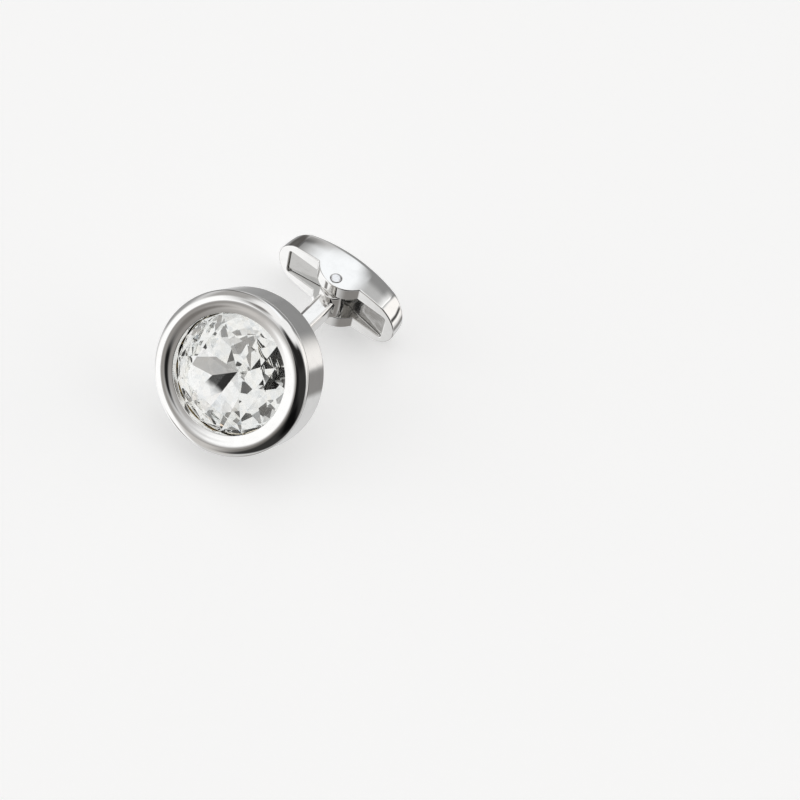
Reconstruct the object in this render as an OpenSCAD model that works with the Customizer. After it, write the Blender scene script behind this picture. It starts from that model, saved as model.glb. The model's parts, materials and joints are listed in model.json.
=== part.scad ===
// Cufflink with a round stone head, a curved post and a hinged bar.
// It lies as it rests by itself: on the head's rear edge and on one cheek of the bar.
// Units are millimetres, +Z is up, the head's face looks toward -Y and up.

/* [Head] */
// Outer radius of the round head
head_r = 8.25; // [6:0.05:12]
// Height of the straight side wall up to the rolled shoulder
wall_top = 4.0; // [2.5:0.05:6]
// Radius of the rolled shoulder
roll_r = 0.8; // [0.4:0.05:1.5]
// Inner radius of the wall and of the rear rim
wall_in_r = 7.05; // [5:0.05:11]
// Rounding of the rear edge
edge_r = 0.25; // [0.1:0.05:0.5]
// Drop of the dished border from its crest to the stone
dish_drop = 0.2; // [0.1:0.02:0.8]

/* [Crystal] */
// Girdle radius of the crystal
stone_r = 6.0; // [4:0.05:8]
// Height of the girdle's lower edge above the rear edge
girdle_z = 3.56; // [3:0.02:4.2]
// Height of the girdle band
girdle_h = 0.14; // [0.05:0.01:0.4]
// Radius of the table
table_r = 3.95; // [2:0.05:6]
// Height of the crown above the girdle
crown_h = 0.86; // [0.3:0.02:2]
// Depth of the pavilion under the girdle
pavilion_h = 2.56; // [1:0.02:2.6]
// Turn of the crystal in its seat
stone_turn = 19; // [0:1:45]

/* [Back plate] */
// Depth of the plate's outer face inside the rear rim
plate_in = 0.4; // [0.1:0.05:1]
// Thickness of the plate
plate_t = 0.4; // [0.3:0.05:0.5]
// Outer radius of the half-moon opening
moon_out_r = 6.45; // [4:0.05:8]
// Radius of the opening's inner edge
moon_in_r = 6.75; // [4:0.05:10]
// Distance of the opening's crown from the head's axis
moon_crown = 1.0; // [0:0.05:3]
// Rounding of the opening's two corners
moon_corner_r = 0.7; // [0.2:0.05:1.5]
// Turn of the opening and its strap away from the post's plane
moon_turn = 15; // [-30:1:30]

/* [Post] */
// Height of the hinge pin behind the rear edge
pivot_h = 12.45; // [8:0.05:18]
// Lean of the bar's axis away from the head's axis
lean = 41; // [30:0.5:60]
// Extra lean of the post at the hinge
post_lead = 8; // [0:0.5:15]
// Distance of the post's foot from the head's axis
foot_off = 1.25; // [0:0.05:3]
// Thickness of the post in the plane of its curve
post_t = 2.2; // [1.2:0.05:3]
// Width of the post at its foot
post_w_foot = 1.75; // [1:0.05:3]
// Width of the post at the hinge
post_w_end = 2.2; // [1:0.05:3]
// Thickness of the strap over the opening
strap_t = 1.0; // [0.5:0.05:2]
// Radius of the round end of the post
knuckle_r = 1.45; // [1:0.05:2]

/* [Bar] */
// Half the length of the bar at its inner edge
bar_half = 7.75; // [6:0.05:10]
// Half the length of the bar at its back
bar_back_half = 7.55; // [6:0.05:10]
// Radius of the bar's round ends
bar_end_r = 3.2; // [2.5:0.05:5]
// Half the width of the bar at the hinge
bar_hw = 3.54; // [2.5:0.02:5]
// How much each cheek draws in at the ends
bar_draw = 1.02; // [0:0.05:1.5]
// Depth of the inner edge behind the pin
bar_inner = 0.54; // [0:0.02:1]
// Depth of the back behind the pin
bar_back = 3.87; // [2.5:0.02:5]
// How much the back draws in at the ends
bar_back_draw = 1.0; // [0:0.05:1.5]
// Radius of the lugs round the pin
lug_r = 3.05; // [1.5:0.05:4]
// Reach of the lugs past the pin
lug_reach = 1.0; // [0.8:0.02:2]
// Width of the channel between the cheeks
channel_w = 3.6; // [2.5:0.05:5]
// Thickness of the back under the channel
back_t = 0.75; // [0.4:0.05:1.5]
// Thickness of the end walls
end_t = 1.2; // [0.8:0.05:1.6]

/* [Spring] */
// Thickness of the leaf spring
spring_t = 0.25; // [0.15:0.05:0.4]
// Half the length of the spring's flat middle
spring_flat = 1.6; // [1:0.1:2.2]
// Depth of the spring's ends behind the pin
spring_end = 0.8; // [0.7:0.05:1.2]
// Gap between the spring and the cheeks
spring_side = 0.1; // [0.05:0.01:0.2]

/* [Pin] */
// Radius of the hinge pin
pin_r = 0.55; // [0.3:0.01:1]
// Depth of the pin's blind seat in the lower cheek
pin_seat = 1.1; // [0.5:0.05:2]

/* [Fits] */
// Gap between the pieces of one body
gap = 0.04; // [0.01:0.01:0.2]
// Running clearance of the knuckle round the pin and between the cheeks
run = 0.05; // [0.01:0.01:0.1]

/* [Node] */
// Piece to draw

/* [Hidden] */
$fn = 96;
steel = [0.80, 0.80, 0.82];
rest_tilt = 90 - lean;
rise = edge_r + sin(rest_tilt) * (head_r - edge_r) - cos(rest_tilt) * edge_r;
pivot_y = (bar_hw - rise + cos(rest_tilt) * pivot_h) / sin(rest_tilt);
roll_c = head_r - roll_r;
front_y = -(cos(rest_tilt) * roll_c + sin(rest_tilt) * wall_top + roll_r);
back_y = cos(rest_tilt) * pivot_y + sin(rest_tilt) * pivot_h + bar_back;
shift_y = -(front_y + back_y) / 2;
crest_z = wall_top + roll_r;
bore_r = stone_r + gap;
foil_t = 0.1;
inner_half = bar_half - end_t - 0.15;
spring_top = -knuckle_r - run - 0.02;

// Brilliant cut: table, star, kite and upper girdle facets over a pavilion of mains and halves
cut_n = 8;
kite_r = table_r + (stone_r - table_r) * 0.48;
kite_h = girdle_h + crown_h * (stone_r - kite_r * cos(22.5)) / (stone_r - table_r);
half_r = stone_r * 0.42;
half_h = -pavilion_h * (1 - half_r * cos(22.5) / stone_r);
pavilion_slope = -half_h / (stone_r - half_r);

// The post's curve is one arc from its foot to the pin
foot_y = -foot_off;
foot_z = plate_in + 0.2;
chord_y = pivot_y - foot_y;
chord_z = pivot_h + foot_z;
chord = sqrt(chord_y * chord_y + chord_z * chord_z);
chord_a = atan2(chord_y, chord_z);
end_a = lean + post_lead;
turn = 2 * (end_a - chord_a);
arc_r = chord / 2 / sin(turn / 2);
arc_cy = pivot_y + arc_r * cos(end_a);
arc_cz = -pivot_h + arc_r * sin(end_a);

// The head's own frame: face up, the rear edge at z = 0, the post leans toward +y
module lay() {
  translate([0, shift_y, rise])
    rotate([rest_tilt, 0, 0])
      children();
}

// The bar's own frame: pin along y, the side toward the head up
module at_pin() {
  lay()
    translate([0, pivot_y, -pivot_h])
      rotate([lean, 0, 0])
        children();
}

module case_section() {
  seat = stone_r - 0.75;
  seat_top = girdle_z - gap - foil_t - gap;
  seat_z = seat_top - pavilion_slope * (stone_r - seat);
  union() {
    translate([wall_in_r, edge_r])
      square([head_r - wall_in_r, wall_top - edge_r]);
    translate([wall_in_r, 0])
      square([head_r - edge_r - wall_in_r, edge_r]);
    translate([head_r - edge_r, edge_r])
      circle(r = edge_r);
    translate([roll_c, wall_top])
      circle(r = roll_r);
    polygon([
      [roll_c, wall_top - 0.4],
      [roll_c + 0.01, crest_z - 0.001],
      [roll_c - roll_r * sin(12), wall_top + roll_r * cos(12)],
      [bore_r + 0.08, crest_z - dish_drop],
      [bore_r, crest_z - dish_drop - 0.07],
      [bore_r, seat_top],
      [seat, seat_z],
      [seat, seat_z - 0.55],
      [wall_in_r + 0.01, seat_z - 0.55],
      [wall_in_r + 0.01, wall_top - 0.4]
    ]);
  }
}

module head_case() {
  color(steel)
    lay()
      rotate_extrude()
        case_section();
}

cut_pts = concat(
  [for (i = [0 : cut_n - 1]) [table_r * cos(45 * i), table_r * sin(45 * i), girdle_h + crown_h]],
  [for (i = [0 : cut_n - 1]) [kite_r * cos(45 * i + 22.5), kite_r * sin(45 * i + 22.5), kite_h]],
  [for (i = [0 : 2 * cut_n - 1]) [stone_r * cos(22.5 * i), stone_r * sin(22.5 * i), girdle_h]],
  [for (i = [0 : 2 * cut_n - 1]) [stone_r * cos(22.5 * i), stone_r * sin(22.5 * i), 0]],
  [for (i = [0 : cut_n - 1]) [half_r * cos(45 * i + 22.5), half_r * sin(45 * i + 22.5), half_h]],
  [[0, 0, -pavilion_h]]
);
kite_0 = cut_n;
top_0 = 2 * cut_n;
low_0 = 4 * cut_n;
half_0 = 6 * cut_n;
culet = 7 * cut_n;
function wrap(i, n) = (i + n) % n;
cut_faces = concat(
  [[for (i = [0 : cut_n - 1]) cut_n - 1 - i]],
  [for (i = [0 : cut_n - 1]) [i, wrap(i + 1, cut_n), kite_0 + i]],
  [for (i = [0 : cut_n - 1]) [i, kite_0 + i, top_0 + 2 * i]],
  [for (i = [0 : cut_n - 1]) [i, top_0 + 2 * i, kite_0 + wrap(i - 1, cut_n)]],
  [for (i = [0 : cut_n - 1]) [kite_0 + i, top_0 + 2 * i + 1, top_0 + 2 * i]],
  [for (i = [0 : cut_n - 1]) [kite_0 + i, top_0 + wrap(2 * i + 2, 2 * cut_n), top_0 + 2 * i + 1]],
  [for (i = [0 : 2 * cut_n - 1]) [
    top_0 + i, top_0 + wrap(i + 1, 2 * cut_n), low_0 + wrap(i + 1, 2 * cut_n), low_0 + i
  ]],
  [for (i = [0 : cut_n - 1]) [low_0 + 2 * i, low_0 + 2 * i + 1, half_0 + i]],
  [for (i = [0 : cut_n - 1]) [low_0 + 2 * i + 1, low_0 + wrap(2 * i + 2, 2 * cut_n), half_0 + i]],
  [for (i = [0 : cut_n - 1]) [low_0 + 2 * i, half_0 + i, culet]],
  [for (i = [0 : cut_n - 1]) [low_0 + 2 * i, culet, half_0 + wrap(i - 1, cut_n)]]
);

module crystal() {
  color([0.85, 0.93, 0.98])
    lay()
      translate([0, 0, girdle_z])
        rotate([0, 0, stone_turn])
          polyhedron(points = cut_pts, faces = cut_faces);
}

module foil_cup() {
  top = girdle_z - gap;
  color([0.86, 0.84, 0.78])
    lay()
      rotate_extrude()
        polygon([
          [stone_r - 0.02, top],
          [half_r, top + half_h],
          [0, top - pavilion_h],
          [0, top - pavilion_h - foil_t],
          [half_r, top + half_h - foil_t],
          [stone_r - 0.02, top - foil_t]
        ]);
}

function arc_pts(cy, r, a0, a1, n, cx = 0) =
  [for (i = [0 : n]) [cx + r * cos(a0 + (a1 - a0) * i / n), cy + r * sin(a0 + (a1 - a0) * i / n)]];

// Half-moon between two arcs, its corners rounded by circles that touch both
module moon() {
  in_cy = -(moon_crown + moon_in_r);
  a = moon_out_r - moon_corner_r;
  b = moon_in_r - moon_corner_r;
  ky = (in_cy * in_cy - b * b + a * a) / (2 * in_cy);
  kx = sqrt(a * a - ky * ky);
  out_a = atan2(ky, kx);
  in_a = atan2(ky - in_cy, kx);
  polygon(concat(
    arc_pts(ky, moon_corner_r, out_a, in_a, 8, kx),
    arc_pts(in_cy, moon_in_r, in_a, 180 - in_a, 20),
    arc_pts(ky, moon_corner_r, 180 - in_a, 180 - out_a, 8, -kx),
    arc_pts(0, moon_out_r, 180 - out_a, 360 + out_a, 28)
  ));
}

// Draws a side outline, given in y and z, as wide as w across the head
module side(w) {
  rotate([90, 0, 90])
    linear_extrude(w, center = true)
      children();
}

module post_band() {
  a0 = 180 + end_a - turn;
  a1 = 180 + end_a;
  far = arc_r * 1.3;
  intersection() {
    difference() {
      translate([arc_cy, arc_cz])
        circle(r = arc_r + post_t / 2, $fn = 180);
      translate([arc_cy, arc_cz])
        circle(r = arc_r - post_t / 2, $fn = 180);
    }
    polygon([
      [arc_cy, arc_cz],
      [arc_cy + far * cos(a0), arc_cz + far * sin(a0)],
      [arc_cy + far * cos(a1), arc_cz + far * sin(a1)]
    ]);
  }
}

// The strap rises from the plate's edge, crosses the opening and meets the post's foot
function bend(p, q, r, t) = (1 - t) * (1 - t) * p + 2 * t * (1 - t) * q + t * t * r;
module strap_side() {
  end_y = -(wall_in_r - 0.2);
  inner_z = plate_in + plate_t - 0.02;
  polygon(concat(
    [for (i = [0 : 12]) bend([end_y, plate_in - 0.1], [end_y * 0.72, -1.5], [foot_y - 0.6, -0.9], i / 12)],
    [[foot_y, inner_z], [foot_y - 0.9, inner_z]],
    [for (i = [0 : 12]) bend(
      [foot_y - 0.95, inner_z - 0.4], [end_y * 0.68, -1.5 + strap_t], [end_y, inner_z], i / 12
    )]
  ));
}

module plate_and_post() {
  dish_r = 110;
  dish = wall_in_r * wall_in_r / (2 * dish_r);
  color([0.78, 0.77, 0.75])
    difference() {
      union() {
        lay() {
          difference() {
            rotate_extrude()
              difference() {
                translate([0, plate_in])
                  square([wall_in_r - gap, plate_t]);
                translate([0, plate_in + dish - dish_r])
                  circle(r = dish_r, $fn = 256);
              }
            rotate([0, 0, moon_turn])
              linear_extrude(3)
                moon();
          }
          rotate([0, 0, moon_turn])
            side(post_w_foot)
              strap_side();
          intersection() {
            side(2 * post_w_end)
              post_band();
            rotate([90, 0, 0])
              linear_extrude(60, center = true)
                polygon([
                  [-post_w_foot / 2, plate_in + plate_t],
                  [-post_w_end / 2, -pivot_h - 3],
                  [post_w_end / 2, -pivot_h - 3],
                  [post_w_foot / 2, plate_in + plate_t]
                ]);
          }
        }
        at_pin()
          rotate([90, 0, 0])
            cylinder(r = knuckle_r, h = channel_w - 2 * run, center = true);
      }
      at_pin()
        rotate([90, 0, 0])
          cylinder(r = pin_r + run, h = channel_w + 2, center = true);
    }
}

module bar_outline() {
  back_r = (bar_back_half * bar_back_half + bar_back_draw * bar_back_draw) / (2 * bar_back_draw);
  union() {
    intersection() {
      translate([0, back_r - bar_back])
        circle(r = back_r, $fn = 180);
      polygon([
        [-bar_half, -bar_inner],
        [bar_half, -bar_inner],
        [bar_back_half - 0.05, -bar_back - 0.1],
        [0.05 - bar_back_half, -bar_back - 0.1]
      ]);
    }
    translate([0, lug_reach - lug_r])
      intersection() {
        circle(r = lug_r);
        translate([-lug_r, -lug_r * 0.3])
          square([2 * lug_r, 2 * lug_r]);
      }
  }
}

// Keeps what lies inside the bar's round ends
module round_ends() {
  middle = bar_half - bar_end_r;
  intersection() {
    children();
    union() {
      cube([2 * middle, 12, 20], center = true);
      for (s = [-1, 1])
        translate([s * middle, 0, 0])
          cylinder(r = bar_end_r, h = 20, center = true);
    }
  }
}

module toggle_bar() {
  cheek_r = (bar_half * bar_half + bar_draw * bar_draw) / (2 * bar_draw);
  floor_z = -bar_back + back_t;
  block_half = 2.4;
  block_z = spring_top - spring_t - gap;
  color(steel)
    at_pin()
      difference() {
        intersection() {
          round_ends()
            rotate([90, 0, 0])
              linear_extrude(12, center = true)
                bar_outline();
          translate([0, bar_hw - cheek_r, 0])
            cylinder(r = cheek_r, h = 20, center = true, $fn = 180);
          translate([0, cheek_r - bar_hw, 0])
            cylinder(r = cheek_r, h = 20, center = true, $fn = 180);
        }
        for (s = [-1, 1])
          translate([s > 0 ? block_half : -inner_half, -channel_w / 2, floor_z])
            cube([inner_half - block_half, channel_w, 10]);
        translate([-block_half - 0.5, -channel_w / 2, block_z])
          cube([2 * block_half + 1, channel_w, 10]);
        translate([0, bar_hw + 1, 0])
          rotate([90, 0, 0])
            cylinder(r = pin_r + gap, h = bar_hw + 1 + channel_w / 2 + pin_seat + gap);
      }
}

// A strip that lies on the block under the knuckle and rises to both ends of the channel
module leaf_spring() {
  end_x = inner_half - 0.07;
  color([0.86, 0.86, 0.86])
    at_pin()
      rotate([90, 0, 0])
        linear_extrude(channel_w - 2 * spring_side, center = true)
          polygon([
            [-end_x, -spring_end], [-spring_flat, spring_top],
            [spring_flat, spring_top], [end_x, -spring_end],
            [end_x, -spring_end - spring_t], [spring_flat, spring_top - spring_t],
            [-spring_flat, spring_top - spring_t], [-end_x, -spring_end - spring_t]
          ]);
}

module hinge_pin() {
  color([0.74, 0.74, 0.76])
    at_pin()
      translate([0, bar_hw - 0.02, 0])
        rotate([90, 0, 0])
          cylinder(r = pin_r, h = bar_hw - 0.02 + channel_w / 2 + pin_seat);
}

head_case();
crystal();
foil_cup();
plate_and_post();
toggle_bar();
leaf_spring();
hinge_pin();
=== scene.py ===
"""Cufflink: a round crystal head, a curved post and a hinged hollow bar, lying on a pale table.

Sizes are in millimetres until a mesh is written, and metres after that.
"""

import json
import math

import bmesh
import bpy
import numpy as np
from mathutils import Matrix


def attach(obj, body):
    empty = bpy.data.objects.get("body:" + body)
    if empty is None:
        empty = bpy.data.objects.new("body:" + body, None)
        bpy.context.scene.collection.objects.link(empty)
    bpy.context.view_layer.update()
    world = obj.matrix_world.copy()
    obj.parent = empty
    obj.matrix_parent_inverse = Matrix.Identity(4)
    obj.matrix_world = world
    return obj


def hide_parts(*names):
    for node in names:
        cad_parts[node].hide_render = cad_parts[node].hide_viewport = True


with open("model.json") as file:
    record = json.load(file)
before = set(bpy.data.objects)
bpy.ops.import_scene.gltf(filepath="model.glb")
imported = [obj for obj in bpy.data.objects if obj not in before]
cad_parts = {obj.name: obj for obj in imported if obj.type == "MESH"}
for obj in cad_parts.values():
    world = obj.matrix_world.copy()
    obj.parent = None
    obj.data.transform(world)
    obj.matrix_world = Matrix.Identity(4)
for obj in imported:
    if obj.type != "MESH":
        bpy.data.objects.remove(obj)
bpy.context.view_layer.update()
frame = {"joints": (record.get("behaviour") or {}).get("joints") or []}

MM = 0.001

# Head, as the part's source has it
HEAD_R = 8.25
WALL_IN_R = 7.05
EDGE_R = 0.25
CREST_Z = 4.8
STONE_R = 6.0
GIRDLE_Z = 3.56
GIRDLE_H = 0.14
TABLE_R = 3.95
CROWN_H = 0.86
PAVILION_H = 2.56
STONE_TURN = math.radians(19)
GAP = 0.04
FOIL_T = 0.1

# Back plate and its opening
PLATE_IN = 0.4
PLATE_T = 0.4
DISH_SPHERE_R = 110.0
MOON_OUT_R = 6.45
MOON_IN_R = 6.75
MOON_CROWN = 1.0
MOON_CORNER_R = 0.7
MOON_TURN = math.radians(15)

# Post and strap
PIVOT_H = 12.45
LEAN = math.radians(41)
POST_LEAD = math.radians(8)
FOOT_OFF = 1.25
POST_T = 2.2
POST_W_FOOT = 1.75
POST_W_END = 2.2
STRAP_T = 1.0
KNUCKLE_R = 1.45
RUN = 0.05

# Bar and pin
BAR_HALF = 7.75
BAR_BACK_HALF = 7.55
BAR_END_R = 3.2
BAR_HW = 3.54
BAR_DRAW = 1.02
BAR_INNER = 0.54
BAR_BACK = 3.87
BAR_BACK_DRAW = 1.0
LUG_R = 3.05
LUG_REACH = 1.0
CHANNEL_W = 3.6
BACK_T = 0.75
END_T = 1.2
BLOCK_HALF = 2.4
PIN_R = 0.55
PIN_SEAT = 1.1
SPRING_T = 0.25
SPRING_FLAT = 1.6
SPRING_END = 0.8
SPRING_SIDE = 0.1
SPRING_SLACK = 0.02

# Softened edges and a fine line, which the part's source leaves out
SHOULDER_R = 0.42
BEVEL_R = 1.72
CREST_R = 0.39
INNER_R = 1.84
DISH_R = 2.1
DISH_FOOT_R = 14.5
LINE_BELOW = 0.12
LINE_W = 0.06
LINE_DEEP = 0.04
STONE_LIP_R = 0.08
BACK_EDGE_R = 0.55
CROWN = 0.07
RIM_EDGE_R = 0.12
LIP_EDGE_R = 0.08
LUG_BLEND = 0.2
MOON_EDGE_R = 0.1
POST_EDGE_R = 0.42
STRAP_EDGE_R = 0.22
KNUCKLE_EDGE_R = 0.15
PIN_EDGE_R = 0.04
SPRING_EDGE_R = 0.06
SPRING_BEND_R = 0.6

# The seat under the stone, and how much smaller the foil is than the stone
SEAT_W = 0.75
SEAT_T = 0.55
FOIL_TRIM = 0.02

# How far the strap's end laps over the plate, the post sinks into it and the strap bulges out behind it,
# and how far past the pin the post would reach its full width
PLATE_LAP = 0.2
POST_SINK = 0.2
STRAP_BULGE = 1.5
POST_PAST_PIN = 3

# The pin's round end stands a hair above the cheek, and the pin is pressed to one side of its bore
PIN_BUTTON = 0.002
PIN_ASIDE = [0.022, 0, 0.018]

# The bar: the length of the slope beside its block, how far past a round end's middle the cheek meets it,
# the extra thickness of its leaning end walls, and how far short of its ends the back's middle line stops
BLOCK_SLOPE = 0.4
END_MEET = 1.15
END_EXTRA = 0.15
SPINE_SHORT = 2.2

# The patch of the cheek's wall that gives way to rings round the pin's bore: half its length, and its lower
# and upper edge as shares of the wall's height
BORE_REACH = 1.1
BORE_LOW = 0.55
BORE_HIGH = 0.95

# Points of a mesh that are closer than this are one
WELD = 1e-4

# Polish: which way its hairlines run, as a turn, where its haze starts and is full, and how far haze dulls
HAIRLINE_WAY = (0.5, 0.9, 0.3)
HAZE_FROM = 0.42
HAZE_TO = 0.72
HAZE_DULL = 0.965

# How it lies: on the rear edge and on one cheek of the bar
TILT = math.pi / 2 - LEAN
RISE = EDGE_R + math.sin(TILT) * (HEAD_R - EDGE_R) - math.cos(TILT) * EDGE_R
PIN_PLACE = np.array(frame["joints"][0]["pos_m"]) / MM
PIVOT_Y = (BAR_HW - RISE + math.cos(TILT) * PIVOT_H) / math.sin(TILT)
SHIFT_Y = PIN_PLACE[1] - math.cos(TILT) * PIVOT_Y - math.sin(TILT) * PIVOT_H
BORE_R = STONE_R + GAP
SEAT_R = STONE_R - SEAT_W
CHANNEL_HALF = BAR_HALF - END_T - END_EXTRA
SPRING_TOP = -KNUCKLE_R - RUN - SPRING_SLACK

# Brilliant cut with eight mains: the angles of its rings of eight and of sixteen corners, then its measures.
# The shares say how far out its kites and its lower halves end
HALF_STEP = math.radians(22.5)
EIGHTHS = np.arange(8) * HALF_STEP * 2
SIXTEENTHS = np.arange(16) * HALF_STEP
KITE_SHARE = 0.48
HALF_SHARE = 0.42
KITE_R = TABLE_R + (STONE_R - TABLE_R) * KITE_SHARE
KITE_H = GIRDLE_H + CROWN_H * (STONE_R - KITE_R * math.cos(HALF_STEP)) / (STONE_R - TABLE_R)
HALF_R = STONE_R * HALF_SHARE
HALF_H = -PAVILION_H * (1 - HALF_R * math.cos(HALF_STEP) / STONE_R)

# The camera that was fitted to the photo: its place in millimetres, and the ways to its right and up
CAMERA_PLACE = [42.898, -72.559, 133.762]
CAMERA_RIGHT = [0.79196, 0.58779, 0.16522]
CAMERA_UP = [-0.57901, 0.63713, 0.50873]
FOCAL_PIXELS = 1500
PHOTO_PIXELS = 800

# The studio, as the polished metal mirrors it. Greys are as a screen shows them
STUDIO_GREY = 0.80
STUDIO_STRENGTH = 1.12
BACKDROP_GREY = 0.975
TABLE_GLOW = 0.45
TABLE_HALF = 500.0
LIGHT_BOUNCES = 16
# Degrees: azimuth 0 is toward -Y and 90 toward +X; a lean is degrees of azimuth per degree up
SOFT_BOX_SHAPE = [
    "At Azimuth", "At Elevation", "Half Width", "Half Height", "Soft Width", "Soft Height", "Lean",
]
SOFT_BOXES = [
    # name, the seven values of its shape as above, grey, warmth
    ("ceiling", 0, 90, 400, 30, 1, 9, 0, 0.94, 0),
    ("left wall", -108, 40, 36, 17, 9, 7, 0, 0.63, 0.01),
    ("left door", -112, -18, 36, 27, 8, 8, 1.3, 0.6, 0),
    ("dark end", -126, 6, 8, 26, 6, 8, 0, 0.34, 0.02),
    ("dark patch", -131, 34, 9, 6, 6, 5, 0, 0.38, 0),
    ("back wall", 180, 10, 28, 48, 10, 8, 0, 0.54, 0),
    ("white strip", -154, 62, 14, 20, 6, 7, -0.3, 0.98, -0.01),
    ("left lamp", -48, -5, 26, 48, 8, 9, 0, 1, 0),
    ("front wall", -6, -20, 17, 30, 6, 14, 0, 0.75, 0.015),
    ("front dark", -6, 20, 13, 16, 5, 12, 0, 0.55, 0.02),
    ("right lamp", 130, 14, 26, 36, 9, 9, -0.25, 0.97, 0.01),
    ("dark slit", 126, -2, 14, 6, 6, 4, 0, 0.3, 0.01),
    ("small lamp", 165, 54, 9, 8, 4, 4, 0, 1, 0),
    ("grey patch", -44, 59, 12, 8, 7, 5, 0, 0.5, 0.02),
    ("low lamp", 156, -16, 12, 13, 8, 1.5, 0, 0.93, 0.01),
    ("low wall", 150, -36, 22, 7, 8, 2.5, 0, 0.52, 0.01),
    ("right low", 95, -22, 16, 22, 10, 8, 0, 0.62, 0.01),
    ("dark card", 48, 14, 40, 50, 12, 6, 0.2, 0.2, 0.01),
    ("dark top", 40, 58, 48, 10, 10, 5, 0, 0.14, 0.01),
    ("dark left", 16, 36, 16, 15, 7, 8, -0.3, 0.12, 0.01),
    ("dark core", 46, 6, 16, 20, 8, 10, -0.7, 0.05, 0.01),
    ("brown edge", 7, 4, 8, 16, 8, 8, 0.3, 0.44, 0.03),
    ("floor left", -92, -60, 46, 14, 8, 6, 0, 0.97, 0),
    ("low grey", -45, -57, 8, 10, 4, 6, 0, 0.5, 0.02),
    ("floor front", -33, -56, 5, 12, 4, 6, 0, 0.97, 0),
    ("floor right", 66, -56, 42, 9, 22, 4, 0, 0.50, 0.02),
    ("floor below", 0, -90, 400, 17, 1, 5, 0, 0.7, 0.01),
]
# The same studio as the crystal's facets gather it: brighter, with small cards that give its dark facets
STONE_GREY = 0.95
STONE_BOXES = [
    ("middle wall", 20, 29, 16, 9, 4, 4, 0, 0.58, 0.01),
    ("front card", -16, 26, 6.5, 15, 0.8, 1.5, 0, 0.1, 0.01),
    ("left card", -41, 31, 8, 6, 2, 2, 0, 0.3, 0.01),
    ("low wall", -48, 52, 13, 7, 3, 2, 0, 0.42, 0.01),
    ("right wall", 61, 25, 7, 8, 2, 2, 0, 0.68, 0.01),
    ("right card", 63, 28.5, 2, 1.8, 0.6, 0.6, 0, 0.28, 0.01),
    ("high card", 104, 76, 16, 6, 1.2, 1.5, 0, 0.1, 0.01),
    ("upper card", 9, 55, 13, 4, 3, 2, 0, 0.4, 0.01),
    ("ceiling card", -20, 76, 14, 6, 4, 2, 0, 0.3, 0.01),
    ("left high card", -68, 67, 6, 5, 2, 2, 0, 0.2, 0.01),
    ("blue sky", -150, 50, 20, 24, 8, 8, 0, 0.86, -0.03),
    ("pink wall", 150, 40, 25, 30, 8, 8, 0, 0.84, 0.02),
    ("blue fire", -48, 66, 5, 2.5, 1.5, 1, 0, 0.8, -0.4),
    ("amber fire", 164, 75, 6, 3, 3, 1, 0, 0.86, 0.14),
]


def turned(points, angle, axis="x"):
    """The points turned by angle about one axis through the origin."""
    c, s = math.cos(angle), math.sin(angle)
    i, j = {"x": (1, 2), "y": (2, 0), "z": (0, 1)}[axis]
    out = np.array(points, float)
    out[..., i] = c * points[..., i] - s * points[..., j]
    out[..., j] = s * points[..., i] + c * points[..., j]
    return out


def laid(points):
    """From the head's frame, face up with its rear edge at z = 0, to the table."""
    return turned(points, TILT) + np.array([0, SHIFT_Y, RISE])


def at_pin(points):
    """From the bar's frame, pin along y and the head's side up, to the table: x, y, z goes to x, -z, y."""
    return turned(points, math.pi / 2) + PIN_PLACE


def make_piece(name, points, faces, body, materials, smooth_deg=None):
    """A closed mesh in metres, faces outwards, that rides on a body; smooth up to the angle smooth_deg."""
    mesh = bpy.data.meshes.new(name)
    mesh.from_pydata((points * MM).tolist(), [], faces)
    work = bmesh.new()
    work.from_mesh(mesh)
    bmesh.ops.remove_doubles(work, verts=work.verts, dist=WELD * MM)
    bmesh.ops.recalc_face_normals(work, faces=work.faces)
    work.to_mesh(mesh)
    work.free()
    for material in materials:
        mesh.materials.append(material)
    obj = bpy.data.objects.new(name, mesh)
    bpy.context.scene.collection.objects.link(obj)
    if smooth_deg is not None:
        mesh.polygons.foreach_set("use_smooth", np.ones(len(mesh.polygons), bool))
        mesh.set_sharp_from_angle(angle=math.radians(smooth_deg))
        flat = obj.modifiers.new("flats stay flat", "WEIGHTED_NORMAL")
        flat.keep_sharp = True
    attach(obj, body)
    return obj


def grid_faces(rows, columns, close_rows=False, close_columns=False):
    """Quads of a rows by columns grid of points, closed round on either side if asked."""
    i = np.arange(rows if close_rows else rows - 1)
    j = np.arange(columns if close_columns else columns - 1)
    i, j = np.meshgrid(i, j, indexing="ij")
    i2, j2 = (i + 1) % rows, (j + 1) % columns
    quads = [i * columns + j, i * columns + j2, i2 * columns + j2, i2 * columns + j]
    return np.stack(quads, -1).reshape(-1, 4)


def skin(rings):
    """Points and faces of a tube through equal rings (stations, points, 3), with a flat cap on each end."""
    stations, count = rings.shape[:2]
    last = (stations - 1) * count
    faces = grid_faces(stations, count, False, True).tolist()
    faces += [list(range(count)), list(range(last, last + count))]
    return rings.reshape(-1, 3), faces


def arc(cx, cy, r, a0, a1, n):
    """n + 1 points on a circle's arc from angle a0 to a1, in degrees."""
    t = np.radians(np.linspace(a0, a1, n + 1))
    return np.stack([cx + r * np.cos(t), cy + r * np.sin(t)], -1)


def straight(a, b, n):
    """The n - 1 points that part the line from a to b in n, with one close to each end for flat mirrors."""
    t = np.unique(np.concatenate([np.linspace(0, 1, n + 1)[1:-1], [0.03, 0.97]]))[:, None]
    return np.array(a) * (1 - t) + np.array(b) * t


def lathe(profile, count):
    """A closed r, z profile turned about z in count steps: x = r cos t, y = r sin t."""
    t = np.linspace(0, 2 * math.pi, count, endpoint=False)
    r, z = profile[:, 0][:, None], profile[:, 1][:, None]
    points = np.stack([r * np.cos(t), r * np.sin(t), z + 0 * t], -1)
    return points.reshape(-1, 3), grid_faces(len(profile), count, True, True).tolist()


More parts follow.
